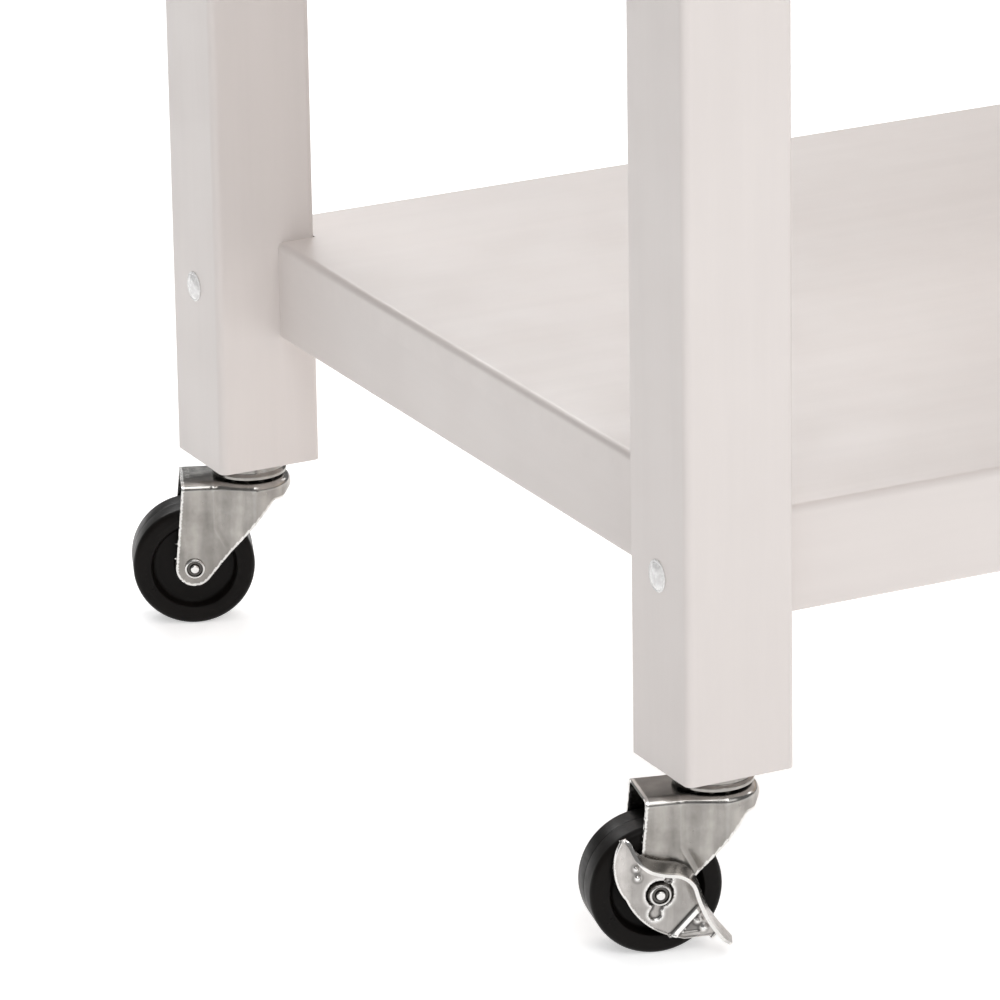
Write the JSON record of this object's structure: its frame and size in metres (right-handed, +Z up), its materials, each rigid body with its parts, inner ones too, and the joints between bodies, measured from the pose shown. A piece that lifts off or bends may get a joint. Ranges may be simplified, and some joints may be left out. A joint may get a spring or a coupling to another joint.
{
  "type": "rolling utility cart",
  "caption": "Wheeled kitchen cart with square painted posts, boxed open shelves, a drawer under a wooden worktop and swivel casters, front ones with brake levers.",
  "frame": {"origin": "on the floor under the middle of the worktop", "axes": "+X along the width, to the right seen from the drawer side; +Y to the back, so the drawer opens along -Y; +Z up"},
  "size_m": [0.9, 0.5, 0.87],
  "materials": {
    "white_painted_wood": "smooth satin white lacquer",
    "butcher_block": "oiled strips of light hardwood",
    "raw_pine": "plain sanded softwood",
    "zinc_plated_steel": "bright zinc-plated pressed steel",
    "fastener_steel": "plain zinc-plated steel",
    "black_wheel_plastic": "hard black moulded wheel, semi-gloss",
    "white_cap_plastic": "glossy white moulded cap",
    "satin_nickel": "satin nickel"
  },
  "bodies": {
    "frame": {"back_apron": "white_painted_wood", "barrel_nuts": "fastener_steel", "bolt_caps": "white_cap_plastic", "bracket_screws": "fastener_steel", "cabinet_slide_left": "fastener_steel", "cabinet_slide_right": "fastener_steel", "caster_stem_back_left": "zinc_plated_steel", "caster_stem_back_right": "zinc_plated_steel", "caster_stem_front_left": "zinc_plated_steel", "caster_stem_front_right": "zinc_plated_steel", "drawer_bottom_rail": "white_painted_wood", "drawer_top_rail": "white_painted_wood", "frame_bolts": "fastener_steel", "frame_dowels": "raw_pine", "left_apron": "white_painted_wood", "leg_back_left": "white_painted_wood", "leg_back_right": "white_painted_wood", "leg_front_left": "white_painted_wood", "leg_front_right": "white_painted_wood", "lower_shelf_back_rail": "white_painted_wood", "lower_shelf_batten": "raw_pine", "lower_shelf_front_rail": "white_painted_wood", "lower_shelf_left_rail": "white_painted_wood", "lower_shelf_panel": "white_painted_wood", "lower_shelf_right_rail": "white_painted_wood", "middle_shelf_back_rail": "white_painted_wood", "middle_shelf_batten": "raw_pine", "middle_shelf_front_rail": "white_painted_wood", "middle_shelf_left_rail": "white_painted_wood", "middle_shelf_panel": "white_painted_wood", "middle_shelf_right_rail": "white_painted_wood", "panel_screws": "fastener_steel", "right_apron": "white_painted_wood", "stem_sockets": "fastener_steel", "swivel_balls": "fastener_steel", "worktop": "butcher_block", "worktop_brackets": "fastener_steel"},
    "drawer": {"drawer_front": "white_painted_wood", "drawer_left_side": "raw_pine", "drawer_right_side": "raw_pine", "drawer_back": "raw_pine", "drawer_bottom": "raw_pine", "drawer_knobs": "satin_nickel", "knob_screws": "fastener_steel", "drawer_slide_left": "fastener_steel", "drawer_slide_right": "fastener_steel"},
    "caster_fork_front_left": {"caster_fork_front_left": "zinc_plated_steel", "caster_axle_front_left": "zinc_plated_steel"},
    "caster_wheel_front_left": {"caster_wheel_front_left": "black_wheel_plastic"},
    "brake_lever_front_left": {"brake_lever_front_left": "zinc_plated_steel"},
    "caster_fork_front_right": {"caster_fork_front_right": "zinc_plated_steel", "caster_axle_front_right": "zinc_plated_steel"},
    "caster_wheel_front_right": {"caster_wheel_front_right": "black_wheel_plastic"},
    "brake_lever_front_right": {"brake_lever_front_right": "zinc_plated_steel"},
    "caster_fork_back_left": {"caster_fork_back_left": "zinc_plated_steel", "caster_axle_back_left": "zinc_plated_steel"},
    "caster_wheel_back_left": {"caster_wheel_back_left": "black_wheel_plastic"},
    "caster_fork_back_right": {"caster_fork_back_right": "zinc_plated_steel", "caster_axle_back_right": "zinc_plated_steel"},
    "caster_wheel_back_right": {"caster_wheel_back_right": "black_wheel_plastic"}
  },
  "joints": [
    {"name": "drawer_slide", "type": "slide", "parent": "frame", "child": "drawer", "axis": [0, -1, 0], "range_m": [0, 0.26]},
    {"name": "swivel_front_left", "type": "hinge", "parent": "frame", "child": "caster_fork_front_left", "pos_m": [-0.3975, -0.2025, 0.06], "axis": [0, 0, 1], "continuous": true},
    {"name": "wheel_spin_front_left", "type": "hinge", "parent": "caster_fork_front_left", "child": "caster_wheel_front_left", "pos_m": [-0.42123, -0.1968, 0.0254], "axis": [-0.2334, -0.9724, 0], "continuous": true},
    {"name": "brake_front_left", "type": "hinge", "parent": "caster_fork_front_left", "child": "brake_lever_front_left", "pos_m": [-0.42123, -0.1968, 0.0254], "axis": [-0.2334, -0.9724, 0], "range_deg": [0, 25]},
    {"name": "swivel_front_right", "type": "hinge", "parent": "frame", "child": "caster_fork_front_right", "pos_m": [0.3975, -0.2025, 0.06], "axis": [0, 0, 1], "continuous": true},
    {"name": "wheel_spin_front_right", "type": "hinge", "parent": "caster_fork_front_right", "child": "caster_wheel_front_right", "pos_m": [0.37377, -0.1968, 0.0254], "axis": [-0.2334, -0.9724, 0], "continuous": true},
    {"name": "brake_front_right", "type": "hinge", "parent": "caster_fork_front_right", "child": "brake_lever_front_right", "pos_m": [0.37377, -0.1968, 0.0254], "axis": [-0.2334, -0.9724, 0], "range_deg": [0, 25]},
    {"name": "swivel_back_left", "type": "hinge", "parent": "frame", "child": "caster_fork_back_left", "pos_m": [-0.3975, 0.2025, 0.06], "axis": [0, 0, 1], "continuous": true},
    {"name": "wheel_spin_back_left", "type": "hinge", "parent": "caster_fork_back_left", "child": "caster_wheel_back_left", "pos_m": [-0.42012, 0.21164, 0.0254], "axis": [-0.3746, -0.9272, 0], "continuous": true},
    {"name": "swivel_back_right", "type": "hinge", "parent": "frame", "child": "caster_fork_back_right", "pos_m": [0.3975, 0.2025, 0.06], "axis": [0, 0, 1], "continuous": true},
    {"name": "wheel_spin_back_right", "type": "hinge", "parent": "caster_fork_back_right", "child": "caster_wheel_back_right", "pos_m": [0.37488, 0.21164, 0.0254], "axis": [-0.3746, -0.9272, 0], "continuous": true}
  ]
}
